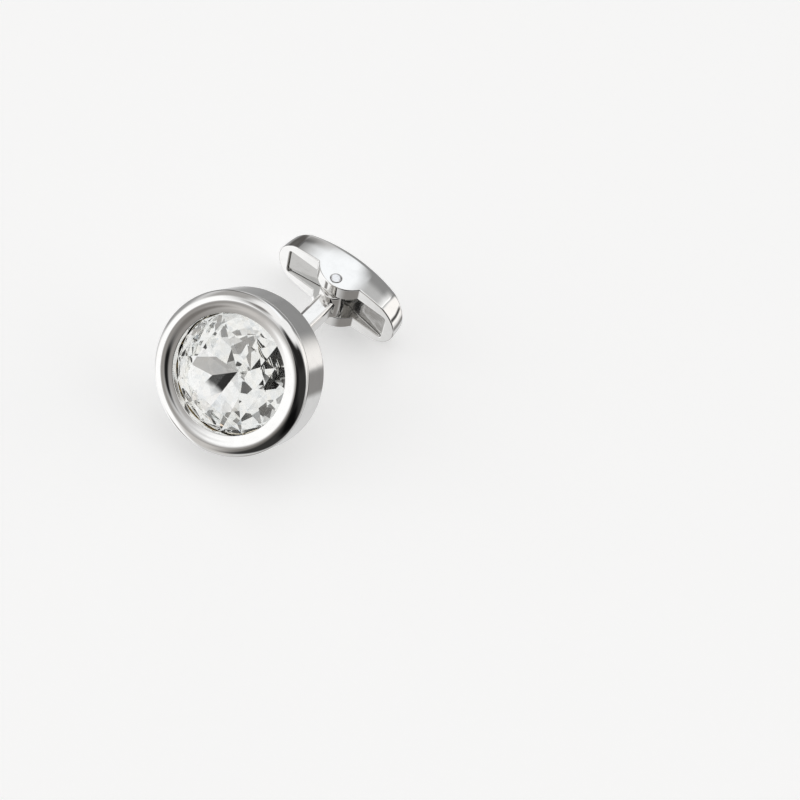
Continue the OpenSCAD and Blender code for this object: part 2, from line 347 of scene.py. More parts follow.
def round_box(half_u, half_v, r, n=5):
    """Outlines of rounded rectangles (stations, points, 2); half_u and half_v hold one value a station.

    Four quarter circles, each followed by a straight side with a point close to each of its ends.
    """
    u, v = np.atleast_1d(half_u)[:, None], np.atleast_1d(half_v)[:, None]
    t = np.radians(np.linspace(0, 90, n + 1))
    parts = []
    for quarter, (su, sv) in enumerate([(1, 1), (-1, 1), (-1, -1), (1, -1)]):
        a = t + quarter * math.pi / 2
        parts.append(np.stack([su * (u - r) + r * np.cos(a), sv * (v - r) + r * np.sin(a)], -1))
        side = (v if quarter % 2 else u) - r
        step = np.array([0.94, 0.5, 0.0, -0.5, -0.94]) * side
        if quarter % 2 == 0:
            parts.append(np.stack([su * step, sv * v + 0 * step], -1))
        else:
            parts.append(np.stack([su * u + 0 * step, sv * step], -1))
    return np.concatenate(parts, 1)


def rolled_edge():
    """Half profile of the shoulder, from the side wall over the crest and down the dish to the stone.

    Each stretch is an arc that turns the slope by a given angle: a tight corner at the wall, a broad bevel,
    a small crest, then the dish, steepest half way down and flatter toward the stone.
    """
    out = []
    r, z = HEAD_R, CREST_Z
    # The slope at each end of an arc, in degrees, and its radius, below 0 where the metal is hollow
    turns = [
        (90, 45, SHOULDER_R), (45, 15, BEVEL_R), (15, 0, CREST_R),
        (0, -18, INNER_R), (-18, -9.5, -DISH_R), (-9.5, -8.5, -DISH_FOOT_R),
    ]
    for start, stop, radius in turns:
        t = np.radians(np.linspace(start, stop, 10))
        step_r = radius * (np.sin(t) - math.sin(t[0]))
        step_z = radius * (np.cos(t) - math.cos(t[0]))
        out.append(np.stack([r + step_r, z + step_z], -1)[1 if out else 0:])
        r, z = out[-1][-1]
    profile = np.concatenate(out)
    profile[:, 1] += CREST_Z - profile[:, 1].max()
    return profile


def head_case(material):
    """The case: wall, rear rim, rolled shoulder, dished border, stone's bore and seat, turned on a lathe."""
    seat_top = GIRDLE_Z - GAP - FOIL_T - GAP
    slope = -HALF_H / (STONE_R - HALF_R)
    seat_z = seat_top - slope * (STONE_R - SEAT_R)
    roll = rolled_edge()
    dish_z = roll[-1][1]
    lip = arc(BORE_R + STONE_LIP_R, dish_z - STONE_LIP_R, STONE_LIP_R, 100, 180, 6)
    line_z = roll[0][1] - LINE_BELOW
    profile = np.concatenate([
        [[WALL_IN_R, 0.0]],
        straight([WALL_IN_R, 0.0], [HEAD_R - EDGE_R, 0.0], 3),
        arc(HEAD_R - EDGE_R, EDGE_R, EDGE_R, -90, 0, 8),
        straight([HEAD_R, EDGE_R], [HEAD_R, line_z - LINE_W], 8),
        [[HEAD_R, line_z - LINE_W], [HEAD_R - LINE_DEEP, line_z - LINE_W / 2], [HEAD_R, line_z]],
        roll,
        lip,
        straight(lip[-1], [BORE_R, seat_top], 3),
        [[BORE_R, seat_top]],
        [[SEAT_R, seat_z]],
        [[SEAT_R, seat_z - SEAT_T]],
        [[WALL_IN_R, seat_z - SEAT_T]],
    ])
    points, faces = lathe(profile, 256)
    piece = make_piece("polished_case", laid(points), faces, "head", [material], 25)
    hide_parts("head_case")
    return piece


def ring_of(angles, r, z):
    """One level ring of facet corners."""
    return np.stack([r * np.cos(angles), r * np.sin(angles), np.full(len(angles), z)], -1)


def cut_stone(glass, backing):
    """A brilliant: table, stars, kites and upper halves over a girdle, then silvered lower halves and mains.

    Its corners are numbered from 0 on the table, 8 on the kites, 16 and 32 on the girdle's two edges, 48 on
    the lower halves and 56 at the culet.
    """
    between = EIGHTHS + HALF_STEP
    points = np.concatenate([
        ring_of(EIGHTHS, TABLE_R, GIRDLE_H + CROWN_H), ring_of(between, KITE_R, KITE_H),
        ring_of(SIXTEENTHS, STONE_R, GIRDLE_H), ring_of(SIXTEENTHS, STONE_R, 0.0),
        ring_of(between, HALF_R, HALF_H), [[0, 0, -PAVILION_H]],
    ])
    front, rear = [list(range(8))], []
    for i in range(8):
        j, before = (i + 1) % 8, (i - 1) % 8
        left, middle, right = 16 + 2 * i, 17 + 2 * i, 16 + (2 * i + 2) % 16
        front += [
            [i, 8 + i, j], [i, left, 8 + i], [i, 8 + before, left],
            [8 + i, left, middle], [8 + i, middle, right],
            [left, left + 16, middle + 16, middle], [middle, middle + 16, right + 16, right],
        ]
        rear += [
            [left + 16, 48 + i, middle + 16], [middle + 16, 48 + i, right + 16],
            [left + 16, 56, 48 + i], [left + 16, 48 + before, 56],
        ]
    points = laid(turned(points, STONE_TURN, "z") + [0, 0, GIRDLE_Z])
    piece = make_piece("cut_crystal", points, front + rear, "head", [glass, backing])
    sides = np.array([0] * len(front) + [1] * len(rear), np.int32)
    piece.data.polygons.foreach_set("material_index", sides)
    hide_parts("crystal")
    return piece


def foil_shell(material):
    """The thin foil behind the stone: the pavilion's facets twice, one foil's thickness apart.

    Each sheet's corners are numbered from 0 on the edge, 16 on the lower halves and 24 at the point.
    """
    top = GIRDLE_Z - GAP
    inner = np.concatenate([
        ring_of(SIXTEENTHS, STONE_R - FOIL_TRIM, top),
        ring_of(EIGHTHS + HALF_STEP, HALF_R, top + HALF_H),
        [[0, 0, top - PAVILION_H]],
    ])
    outer = inner - [0, 0, FOIL_T]
    n = len(inner)
    faces = []
    for i in range(8):
        left, middle, right, half, before = 2 * i, 2 * i + 1, (2 * i + 2) % 16, 16 + i, 16 + (i - 1) % 8
        facets = [[left, half, middle], [middle, half, right], [left, 24, half], [left, before, 24]]
        faces += facets + [[k + n for k in f[::-1]] for f in facets]
        faces += [[left, middle, middle + n, left + n], [middle, right, right + n, middle + n]]
    points = laid(turned(np.concatenate([inner, outer]), STONE_TURN, "z"))
    piece = make_piece("foil_shell", points, faces, "head", [material])
    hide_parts("foil_cup")
    return piece


def moon_outline():
    """The half-moon between two arcs, its corners rounded by circles that touch both; and its middle."""
    in_cy = -(MOON_CROWN + MOON_IN_R)
    a, b = MOON_OUT_R - MOON_CORNER_R, MOON_IN_R - MOON_CORNER_R
    ky = (in_cy ** 2 - b ** 2 + a ** 2) / (2 * in_cy)
    kx = math.sqrt(a ** 2 - ky ** 2)
    out_a = math.degrees(math.atan2(ky, kx))
    in_a = math.degrees(math.atan2(ky - in_cy, kx))
    outline = np.concatenate([
        arc(kx, ky, MOON_CORNER_R, out_a, in_a, 14)[:-1],
        arc(0, in_cy, MOON_IN_R, in_a, 180 - in_a, 44)[:-1],
        arc(-kx, ky, MOON_CORNER_R, 180 - in_a, 180 - out_a, 14)[:-1],
        arc(0, 0, MOON_OUT_R, 180 - out_a, 360 + out_a, 60)[:-1],
    ])
    return outline, np.array([0.0, (MOON_OUT_R + MOON_CROWN) / -2])


def back_plate(material):
    """A round plate, dished behind, with the half-moon cut out: rings from its edge to the opening."""
    hole, middle = moon_outline()
    ray = hole - middle
    ray /= np.linalg.norm(ray, axis=1)[:, None]
    out_r = WALL_IN_R - GAP
    reach = -ray @ middle + np.sqrt((ray @ middle) ** 2 + out_r ** 2 - middle @ middle)
    rim = middle + ray * reach[:, None]
    share = np.array([0, 0.01, 0.1, 0.2, 0.35, 0.5, 0.65, 0.8, 0.9, 0.98, 1])[:, None, None]
    rear = rim + (hole + ray * MOON_EDGE_R - rim) * share
    bend_a = np.radians([30, 60, 90])
    edge = hole + ray * (MOON_EDGE_R * (1 - np.sin(bend_a)))[:, None, None]
    front = hole + (rim - hole) * np.array([0, 0.02, 0.5, 0.98, 1])[:, None, None]

    def dished(flat, lift=0.0):
        """Height of the rear face, part of a large sphere, over points of a level outline."""
        r2 = (flat ** 2).sum(-1)
        sag = WALL_IN_R ** 2 / (2 * DISH_SPHERE_R)
        return PLATE_IN + sag - DISH_SPHERE_R + np.sqrt(DISH_SPHERE_R ** 2 - r2) + lift

    rows = [(flat, dished(flat)) for flat in rear]
    rows += [(flat, dished(flat, MOON_EDGE_R * (1 - math.cos(a)))) for flat, a in zip(edge, bend_a)]
    rows += [(flat, np.full(len(hole), PLATE_IN + PLATE_T)) for flat in front]
    points = np.stack([np.concatenate([flat, z[:, None]], 1) for flat, z in rows])
    faces = grid_faces(len(rows), len(hole), True, True).tolist()
    points = laid(turned(points.reshape(-1, 3), MOON_TURN, "z"))
    piece = make_piece("back_plate", points, faces, "head", [material], 30)
    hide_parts("plate_and_post")
    return piece


def bend(p, q, r, t):
    """A curve from p to r that leaves toward q: (1-t)^2 p + 2t(1-t) q + t^2 r."""
    p, q, r, t = np.array(p), np.array(q), np.array(r), t[:, None]
    return (1 - t) ** 2 * p + 2 * t * (1 - t) * q + t ** 2 * r


def strap(material):
    """The strap over the opening: rounded rectangles carried between its outer and its inner curve."""
    end_y, foot_y = -(WALL_IN_R - PLATE_LAP), -FOOT_OFF
    outer_end, outer_foot = [end_y, PLATE_IN - 0.1], [foot_y - 0.6, -0.9]
    inner_end, inner_foot = [end_y, PLATE_IN + PLATE_T - 0.02], [foot_y - 0.95, 0.36]
    t = np.linspace(0, 1, 40)
    outer = bend(outer_end, [end_y * 0.72, -STRAP_BULGE], outer_foot, t)
    inner = bend(inner_end, [end_y * 0.68, STRAP_T - STRAP_BULGE], inner_foot, t)
    outer = np.concatenate([outer, [[foot_y, -0.8]]])
    inner = np.concatenate([inner, [[foot_y, 0.4]]])
    middle, half = (outer + inner) / 2, (outer - inner) / 2
    thick = np.linalg.norm(half, axis=1)
    across = half / thick[:, None]
    box = round_box(np.full(len(thick), POST_W_FOOT / 2), thick, STRAP_EDGE_R)
    side = middle[:, None] + across[:, None] * box[..., 1:]
    points, faces = skin(np.concatenate([box[..., :1], side], -1))
    points = laid(turned(points, MOON_TURN, "z"))
    return make_piece("strap", points, faces, "head", [material], 35)


def post_curve():
    """Middle, radius and angles of the post's arc in the head's y, z plane, from its foot to the pin."""
    foot = np.array([-FOOT_OFF, PLATE_IN + POST_SINK])
    chord_y, chord_z = PIVOT_Y - foot[0], PIVOT_H + foot[1]
    chord = math.hypot(chord_y, chord_z)
    end_a = LEAN + POST_LEAD
    turn = 2 * (end_a - math.atan2(chord_y, chord_z))
    r = chord / 2 / math.sin(turn / 2)
    middle = np.array([PIVOT_Y + r * math.cos(end_a), -PIVOT_H + r * math.sin(end_a)])
    return middle, r, math.pi + end_a - turn, math.pi + end_a


def post(material):
    """The curved post: rounded rectangles carried along one arc, a little wider toward the pin."""
    middle, r, a0, a1 = post_curve()
    a = np.linspace(a0, a1, 90)
    out = np.stack([np.cos(a), np.sin(a)], -1)
    centre = middle + r * out
    share = (PLATE_IN + PLATE_T - centre[:, 1]) / (PLATE_IN + PLATE_T + PIVOT_H + POST_PAST_PIN)
    width = POST_W_FOOT + (POST_W_END - POST_W_FOOT) * share.clip(0, 1)
    box = round_box(width / 2, np.full(len(a), POST_T / 2), POST_EDGE_R, 7)
    side = centre[:, None] + out[:, None] * box[..., 1:]
    points, faces = skin(np.concatenate([box[..., :1], side], -1))
    return make_piece("curved_post", laid(points), faces, "head", [material], 35)


def knuckle(material):
    """The post's round end: a short tube along the pin with softened edges."""
    half, bore, soft = CHANNEL_W / 2 - RUN, PIN_R + RUN, KNUCKLE_EDGE_R
    profile = np.concatenate([
        [[bore, -half]],
        arc(KNUCKLE_R - soft, -half + soft, soft, -90, 0, 5),
        straight([KNUCKLE_R, -half + soft], [KNUCKLE_R, half - soft], 4),
        arc(KNUCKLE_R - soft, half - soft, soft, 0, 90, 5),
        [[bore, half]],
    ])
    points, faces = lathe(profile, 96)
    points = at_pin(turned(points, math.pi / 2))
    return make_piece("knuckle", points, faces, "head", [material], 35)


def pin(material):
    """The riveted pin: an upright cylinder, pressed to one side of its bore, its round end nearly flush."""
    top, low, soft = BAR_HW, -(CHANNEL_W / 2 + PIN_SEAT), PIN_EDGE_R
    profile = np.concatenate([
        [[0.001, low]],
        [[PIN_R, low]],
        straight([PIN_R, low], [PIN_R, top - soft], 3),
        arc(PIN_R - soft, top - soft, soft, 0, 80, 6),
        [[0.3, top + PIN_BUTTON / 2]],
        [[0.001, top + PIN_BUTTON]],
    ])
    points, faces = lathe(profile, 64)
    points = at_pin(turned(points, -math.pi / 2) - PIN_ASIDE)
    piece = make_piece("rivet", points, faces, "toggle", [material], 35)
    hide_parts("hinge_pin")
    return piece


def cheek(x):
    """Half the bar's width at x: each cheek is part of a big cylinder that draws in toward the ends."""
    r = (BAR_HALF ** 2 + BAR_DRAW ** 2) / (2 * BAR_DRAW)
    return BAR_HW - r + np.sqrt(r ** 2 - x ** 2)


def inward(loop):
    """Unit normals of a closed loop in x and y, counterclockwise, that point to its inside."""
    along = np.roll(loop, -1, 0) - np.roll(loop, 1, 0)
    along /= np.linalg.norm(along, axis=1)[:, None]
    return np.stack([-along[:, 1], along[:, 0]], -1)


def bar_outlines():
    """The bar's outer outline and its channel's, as closed loops whose points lie side by side.

    Outside, two big arcs meet round ends; inside, straight walls meet end walls through small round corners.
    The third value is the number of points along one cheek. They are closest where the lug meets the rim.
    """
    corner_x = math.sqrt(LUG_R ** 2 - (LUG_R - LUG_REACH - BAR_INNER) ** 2)
    middle = BAR_HALF - BAR_END_R
    meet = middle + END_MEET
    half = np.concatenate([
        np.linspace(0, BORE_REACH, 11), np.linspace(BORE_REACH, corner_x - 0.2, 8)[1:],
        np.linspace(corner_x - 0.18, LUG_R + 0.05, 16), np.linspace(LUG_R + 0.05, meet, 14)[1:],
    ])
    x = np.concatenate([half[:0:-1], -half])
    end_a = math.degrees(math.asin(END_MEET / BAR_END_R))
    end = arc(-middle, 0, BAR_END_R, 90 + end_a, 270 - end_a, 30)[1:-1]
    top = np.stack([x, cheek(x)], -1)
    outer = np.concatenate([top, end, -top, -end])
    inner_w, corner_r = CHANNEL_W / 2, 0.3
    path = np.concatenate([
        [[-meet, inner_w]], arc(corner_r - CHANNEL_HALF, inner_w - corner_r, corner_r, 90, 180, 8),
        arc(corner_r - CHANNEL_HALF, corner_r - inner_w, corner_r, 180, 270, 8), [[-meet, -inner_w]],
    ])
    run_up = np.concatenate([[0], np.cumsum(np.linalg.norm(np.diff(path, axis=0), axis=1))])
    at = np.linspace(0, run_up[-1], len(end) + 2)[1:-1]
    inner_end = np.stack([np.interp(at, run_up, path[:, 0]), np.interp(at, run_up, path[:, 1])], -1)
    inner_top = np.stack([x, np.full(len(x), inner_w)], -1)
    return outer, np.concatenate([inner_top, inner_end, -inner_top, -inner_end]), len(x)


def bar_back(x):
    """Height of the bar's back at x: an arch that draws in toward the ends."""
    r = (BAR_BACK_HALF ** 2 + BAR_BACK_DRAW ** 2) / (2 * BAR_BACK_DRAW)
    return r - BAR_BACK - np.sqrt(r ** 2 - x ** 2)


def bar_rim(x):
    """Height of the rim at x: level, with a round lug in the middle and a small blend at the lug's foot."""
    lug = LUG_REACH - LUG_R + np.sqrt(np.maximum(LUG_R ** 2 - x ** 2, 0))
    near = np.maximum(LUG_BLEND - np.abs(lug + BAR_INNER), 0) / LUG_BLEND
    return np.maximum(lug, -BAR_INNER) + near ** 2 * LUG_BLEND / 4


def channel_floor(x):
    """Height of the channel's floor at x: a block under the spring's middle, and lower beyond it."""
    share = ((np.abs(x) - BLOCK_HALF) / BLOCK_SLOPE).clip(0, 1)
    block = SPRING_TOP - SPRING_T - GAP
    return block + (BACK_T - BAR_BACK - block) * share


def bar_loops(outer, inner, rows):
    """Loops round the bar as (outline, height): back, rounded edge, wall, rim, lip, channel wall and floor.

    Each outline is moved inward by an offset, and its height depends on x. The wall's loops stand at the
    given shares of its height. The first and last loops close on the middle line. The second value is the
    number of the wall's first loop.
    """
    out_in, channel_in = inward(outer), inward(inner)
    x = outer[:, 0]
    rim, floor = bar_rim(x), channel_floor(inner[:, 0])
    loops = []
    spine = np.stack([x.clip(-BAR_HALF + SPINE_SHORT, BAR_HALF - SPINE_SHORT), 0 * x], -1)
    edge = outer + (CROWN + BACK_EDGE_R) * out_in
    for share in (0, 0.35, 0.7, 0.95):
        flat = spine + (edge - spine) * share
        loops.append((flat, bar_back(flat[:, 0])))
    for a in np.radians(np.linspace(-90, 0, 11)):
        flat = outer + (CROWN + BACK_EDGE_R * (1 - math.cos(a))) * out_in
        loops.append((flat, bar_back(x) + BACK_EDGE_R * (1 + math.sin(a))))
    wall_start = len(loops)
    low_z = bar_back(x) + BACK_EDGE_R
    for share in rows:
        flat = outer + CROWN * max(1 - share / BORE_LOW, 0) ** 2 * out_in
        loops.append((flat, low_z + (rim - RIM_EDGE_R - low_z) * share))
    for a in np.radians(np.linspace(0, 90, 6)):
        flat = outer + RIM_EDGE_R * (1 - math.cos(a)) * out_in
        loops.append((flat, rim - RIM_EDGE_R * (1 - math.sin(a))))
    rim_out, rim_in = outer + RIM_EDGE_R * out_in, inner - LIP_EDGE_R * channel_in
    for share in (0.05, 0.5, 0.95):
        loops.append((rim_out + (rim_in - rim_out) * share, rim))
    for a in np.radians(np.linspace(90, 0, 5)):
        flat = inner - LIP_EDGE_R * (1 - math.cos(a)) * channel_in
        loops.append((flat, rim - LIP_EDGE_R * (1 - math.sin(a))))
    for share in (0.04, 0.3, 0.6, 0.8, 0.97, 1.0):
        loops.append((inner, rim - LIP_EDGE_R + (floor - rim + LIP_EDGE_R) * share))
    for share in (0.05, 0.5, 1.0):
        flat = inner + (np.stack([inner[:, 0], 0 * x], -1) - inner) * share
        loops.append((flat, floor))
    return loops, wall_start


def ends_leant(points):
    """The bar's points with its round ends leant in toward the back."""
    depth = ((-BAR_INNER - points[..., 2]) / (BAR_BACK - BAR_INNER)).clip(0, 1)
    end = ((np.abs(points[..., 0]) - BAR_HALF + BAR_END_R) / BAR_END_R).clip(0, 1)
    points[..., 0] -= np.sign(points[..., 0]) * (BAR_HALF - BAR_BACK_HALF) * depth * end
    return points


def pin_bore(border, numbers, first_new):
    """Rings from the border of the cheek's cut-out patch to the round bore, then down it to a flat bottom.

    The border's points have the given numbers in the mesh, and the new points are numbered from first_new.
    """
    flat = border[:, [0, 2]]
    away = flat / np.linalg.norm(flat, axis=1)[:, None]
    r, soft = PIN_R + GAP, PIN_EDGE_R
    rings = [flat + (away * (r + 3 * soft) - flat) * share for share in (0.3, 0.6, 0.85, 1.0)]
    rings += [away * (r + soft), away * (r + soft * 0.3), away * r, away * r]
    drop = [0, 0, 0, 0, 0, soft * 0.3, soft, BAR_HW - CHANNEL_W / 2]
    points = np.concatenate([
        np.stack([ring[:, 0], cheek(ring[:, 0]) - deep, ring[:, 1]], -1) for ring, deep in zip(rings, drop)
    ])
    n = len(numbers)
    index = np.concatenate([numbers, first_new + np.arange(len(points))])
    faces = index[grid_faces(len(rings) + 1, n, False, True)].tolist()
    faces.append(index[-n:].tolist())
    return points, faces


def toggle_bar(material):
    """The hollow bar: a grid of loops round it, with a patch of the upper cheek cut out for the bore."""
    low_rows = [0.02, 0.07, 0.13, 0.2, 0.27, 0.34, 0.41, 0.48]
    rows = np.concatenate([low_rows, np.linspace(BORE_LOW, BORE_HIGH, 9), [0.985]])
    outer, inner, top_count = bar_outlines()
    loops, wall_start = bar_loops(outer, inner, rows)
    points = ends_leant(np.stack([np.concatenate([flat, z[:, None]], 1) for flat, z in loops]))
    count = points.shape[1]
    points = points.reshape(-1, 3)
    faces = grid_faces(len(loops), count, False, True)

    left, right = np.flatnonzero(np.isclose(np.abs(outer[:top_count, 0]), BORE_REACH))
    low = wall_start + int(np.flatnonzero(np.isclose(rows, BORE_LOW))[0])
    high = wall_start + int(np.flatnonzero(np.isclose(rows, BORE_HIGH))[0])
    line, place = np.divmod(np.arange(len(faces)), count)
    cut = (place >= left) & (place < right) & (line >= low) & (line < high)
    border = np.concatenate([
        low * count + np.arange(left, right), np.arange(low, high) * count + right,
        high * count + np.arange(right, left, -1), np.arange(high, low, -1) * count + left,
    ])
    bore_points, bore_faces = pin_bore(points[border], border, len(points))
    points = np.concatenate([points, bore_points])
    faces = faces[~cut].tolist() + bore_faces
    piece = make_piece("bar_shell", at_pin(points), faces, "toggle", [material], 30)
    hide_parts("toggle_bar")
    return piece


def leaf_spring(material):
    """The strip in the channel: flat under the knuckle, then a soft bend up to each end."""
    end_x = CHANNEL_HALF - 2 * GAP
    x = np.unique(np.concatenate([np.linspace(-end_x, end_x, 61), [-end_x + 0.01, end_x - 0.01]]))
    slope = (-SPRING_END - SPRING_TOP) / (end_x - SPRING_FLAT)
    past = np.abs(x) - SPRING_FLAT
    ramp = (past + np.sqrt(past ** 2 + SPRING_BEND_R ** 2)) / 2
    middle = SPRING_TOP - SPRING_T / 2 + slope * (ramp - ramp.min())
    tilt = np.arctan(np.gradient(middle, x))
    half_w, half_t = np.full(len(x), CHANNEL_W / 2 - SPRING_SIDE), np.full(len(x), SPRING_T / 2)
    box = round_box(half_w, half_t, SPRING_EDGE_R)
    up = box[..., 1]
    rings = np.stack([
        x[:, None] - np.sin(tilt)[:, None] * up, box[..., 0], middle[:, None] + np.cos(tilt)[:, None] * up,
    ], -1)
    points, faces = skin(rings)
    piece = make_piece("spring_strip", at_pin(points), faces, "toggle", [material], 35)
    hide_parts("leaf_spring")
    return piece


def display(grey, warmth=0.0):
    """The linear colour that a screen shows as this grey, a little redder for a positive warmth."""
    shown = np.array([grey * (1 + warmth), grey, grey * (1 - warmth)])
    return (*((shown + 0.055) / 1.055) ** 2.4, 1.0)


def add(tree, kind, *wires, **settings):
    """A node with its properties set; each wire is an input's name or number and a socket or a value."""
    node = tree.nodes.new("ShaderNode" + kind)
    for key, value in settings.items():
        setattr(node, key, value)
    for place, source in wires:
        if isinstance(source, bpy.types.NodeSocket):
            tree.links.new(source, node.inputs[place])
        else:
            node.inputs[place].default_value = source
    return node


def reckon(tree, operation, *sources):
    """The result of one Math node."""
    return add(tree, "Math", *enumerate(sources), operation=operation).outputs[0]


def tinted(tree, share, below, above):
    """The colour that goes from below to above as share goes from 0 to 1: a Mix node's colour sockets."""
    return add(tree, "Mix", (0, share), (6, below), (7, above), data_type="RGBA").outputs[2]


def new_group(name, inputs, outputs):
    """An empty node group with float inputs and float outputs, and its two end nodes."""
    tree = bpy.data.node_groups.new(name, "ShaderNodeTree")
    for label in inputs:
        tree.interface.new_socket(label, in_out="INPUT", socket_type="NodeSocketFloat")
    for label in outputs:
        tree.interface.new_socket(label, in_out="OUTPUT", socket_type="NodeSocketFloat")
    return tree, tree.nodes.new("NodeGroupInput"), tree.nodes.new("NodeGroupOutput")


def soft_box_group():
    """A soft box on the sky: 1 inside and 0 outside, with soft sides that lean by degrees per degree up."""
    tree, start, end = new_group("soft_box", ["Azimuth", "Elevation", *SOFT_BOX_SHAPE], ["Mask"])
    value = start.outputs
    up = reckon(tree, "SUBTRACT", value["Elevation"], value["At Elevation"])
    lean = reckon(tree, "MULTIPLY", up, value["Lean"])
    across = reckon(tree, "SUBTRACT", reckon(tree, "SUBTRACT", value["Azimuth"], value["At Azimuth"]), lean)
    across = reckon(tree, "WRAP", across, 180.0, -180.0)
    masks = []
    for away, half, soft in ((across, "Half Width", "Soft Width"), (up, "Half Height", "Soft Height")):
        outer = reckon(tree, "ADD", value[half], value[soft])
        inner = reckon(tree, "SUBTRACT", value[half], value[soft])
        wires = [("Value", reckon(tree, "ABSOLUTE", away)), ("From Min", outer), ("From Max", inner)]
        masks.append(add(tree, "MapRange", *wires, interpolation_type="SMOOTHSTEP").outputs[0])
    tree.links.new(reckon(tree, "MULTIPLY", *masks), end.inputs["Mask"])
    return tree


def polish_group():
    """Marks that a polishing wheel leaves: a slow wave, fine hairlines and patches of haze.

    Sizes are in millimetres. Height is in parts of the depth that the material's bump gives. Haze runs from
    0 to 1, and only the densest part of its noise counts.
    """
    labels = ["Wave Size", "Hairline Size", "Hairlines", "Haze Size"]
    tree, start, end = new_group("polish", labels, ["Height", "Haze"])
    place = add(tree, "TexCoord").outputs["Object"]

    def noise(size, detail, stretch=None):
        """Noise with grains of the given size, drawn out into lines if stretch is given."""
        where = place
        if stretch:
            wires = [("Vector", place), ("Rotation", HAIRLINE_WAY), ("Scale", stretch)]
            where = add(tree, "Mapping", *wires).outputs[0]
        wires = [("Vector", where), ("Scale", reckon(tree, "DIVIDE", 1 / MM, size)), ("Detail", detail)]
        return add(tree, "TexNoise", *wires).outputs[0]

    wave = noise(start.outputs["Wave Size"], 1.0)
    hair = noise(start.outputs["Hairline Size"], 2.0, (1.0, 0.06, 0.5))
    haze = noise(start.outputs["Haze Size"], 4.0)
    hair = reckon(tree, "MULTIPLY", hair, start.outputs["Hairlines"])
    tree.links.new(reckon(tree, "ADD", wave, hair), end.inputs["Height"])
    wires = [("Value", haze), ("From Min", HAZE_FROM), ("From Max", HAZE_TO)]
    patches = add(tree, "MapRange", *wires, interpolation_type="SMOOTHSTEP").outputs[0]
    tree.links.new(patches, end.inputs["Haze"])
    return tree


def principled(name, colour, **values):
    """A new material, its tree and its Principled node, with constants set on the shader's own sockets."""
    mat = bpy.data.materials.new(name)
    mat.use_nodes = True
    shader = mat.node_tree.nodes["Principled BSDF"]
    shader.inputs["Base Color"].default_value = (*colour, 1)
    for socket, value in values.items():
        shader.inputs[socket.replace("_", " ")].default_value = value
    return mat, mat.node_tree, shader


def polished(name, colour, polish, sizes, rough, haze, depth):
    """A plated metal: polish marks as bump in millimetres of depth, and haze that adds to the roughness."""
    mat, tree, shader = principled(name, colour, Metallic=1.0)
    marks = add(tree, "Group", *sizes.items(), node_tree=polish).outputs
    wires = [("Value", marks["Haze"]), ("To Min", rough), ("To Max", rough + haze)]
    roughness = add(tree, "MapRange", *wires).outputs[0]
    tree.links.new(roughness, shader.inputs["Roughness"])
    dull = tinted(tree, marks["Haze"], (*colour, 1), (*(HAZE_DULL * np.array(colour)), 1))
    tree.links.new(dull, shader.inputs["Base Color"])
    bump = add(tree, "Bump", ("Height", marks["Height"]), ("Distance", depth * MM), ("Strength", 1.0))
    tree.links.new(bump.outputs[0], shader.inputs["Normal"])
    return mat


def mirror_plate(polish):
    """Bright rhodium-coloured plate on the case and the bar."""
    sizes = {"Wave Size": 2.6, "Hairline Size": 0.5, "Hairlines": 0.004, "Haze Size": 1.1}
    colour = (0.90, 0.895, 0.885)
    return polished("mirror_plate", colour, polish, sizes, rough=0.045, haze=0.03, depth=0.004)


def cast_post_plate(polish):
    """The same plate on the cast post, with a softer and more wavy polish."""
    sizes = {"Wave Size": 1.2, "Hairline Size": 0.3, "Hairlines": 0.02, "Haze Size": 0.6}
    colour = (0.87, 0.86, 0.845)
    return polished("cast_post_plate", colour, polish, sizes, rough=0.06, haze=0.08, depth=0.003)


def satin_plate(polish):
    """The stamped back plate: a satin mirror with fine lines."""
    sizes = {"Wave Size": 4.0, "Hairline Size": 0.16, "Hairlines": 0.12, "Haze Size": 2.0}
    colour = (0.84, 0.825, 0.80)
    return polished("satin_plate", colour, polish, sizes, rough=0.14, haze=0.07, depth=0.004)


def rivet_steel(polish):
    """The pin, headed over and filed flush."""
    sizes = {"Wave Size": 0.4, "Hairline Size": 0.08, "Hairlines": 0.3, "Haze Size": 0.3}
    colour = (0.82, 0.82, 0.83)
    return polished("rivet_steel", colour, polish, sizes, rough=0.10, haze=0.10, depth=0.002)


def spring_steel(polish):
    """Rolled spring strip, a little grained along its length."""
    sizes = {"Wave Size": 3.0, "Hairline Size": 0.1, "Hairlines": 0.1, "Haze Size": 0.8}
    colour = (0.86, 0.86, 0.85)
    return polished("rolled_spring_steel", colour, polish, sizes, rough=0.12, haze=0.08, depth=0.003)


def foil_metal(polish):
    """Thin pale gold foil, crumpled by the press."""
    sizes = {"Wave Size": 0.5, "Hairline Size": 0.12, "Hairlines": 0.15, "Haze Size": 0.5}
    colour = (0.95, 0.90, 0.77)
    return polished("pale_foil", colour, polish, sizes, rough=0.10, haze=0.12, depth=0.03)


def crystal_glass():
    """Clear lead crystal; the polish on its facets is a faint wave."""
    mat, tree, shader = principled("crystal_glass", (1, 1, 1), Roughness=0.0, IOR=1.56)
    shader.inputs["Transmission Weight"].default_value = 1.0
    place = add(tree, "TexCoord").outputs["Object"]
    wave = add(tree, "TexNoise", ("Vector", place), ("Scale", 0.9 / MM), ("Detail", 1.0)).outputs[0]
    bump = add(tree, "Bump", ("Height", wave), ("Distance", 0.0012 * MM), ("Strength", 1.0))
    tree.links.new(bump.outputs[0], shader.inputs["Normal"])
    return mat


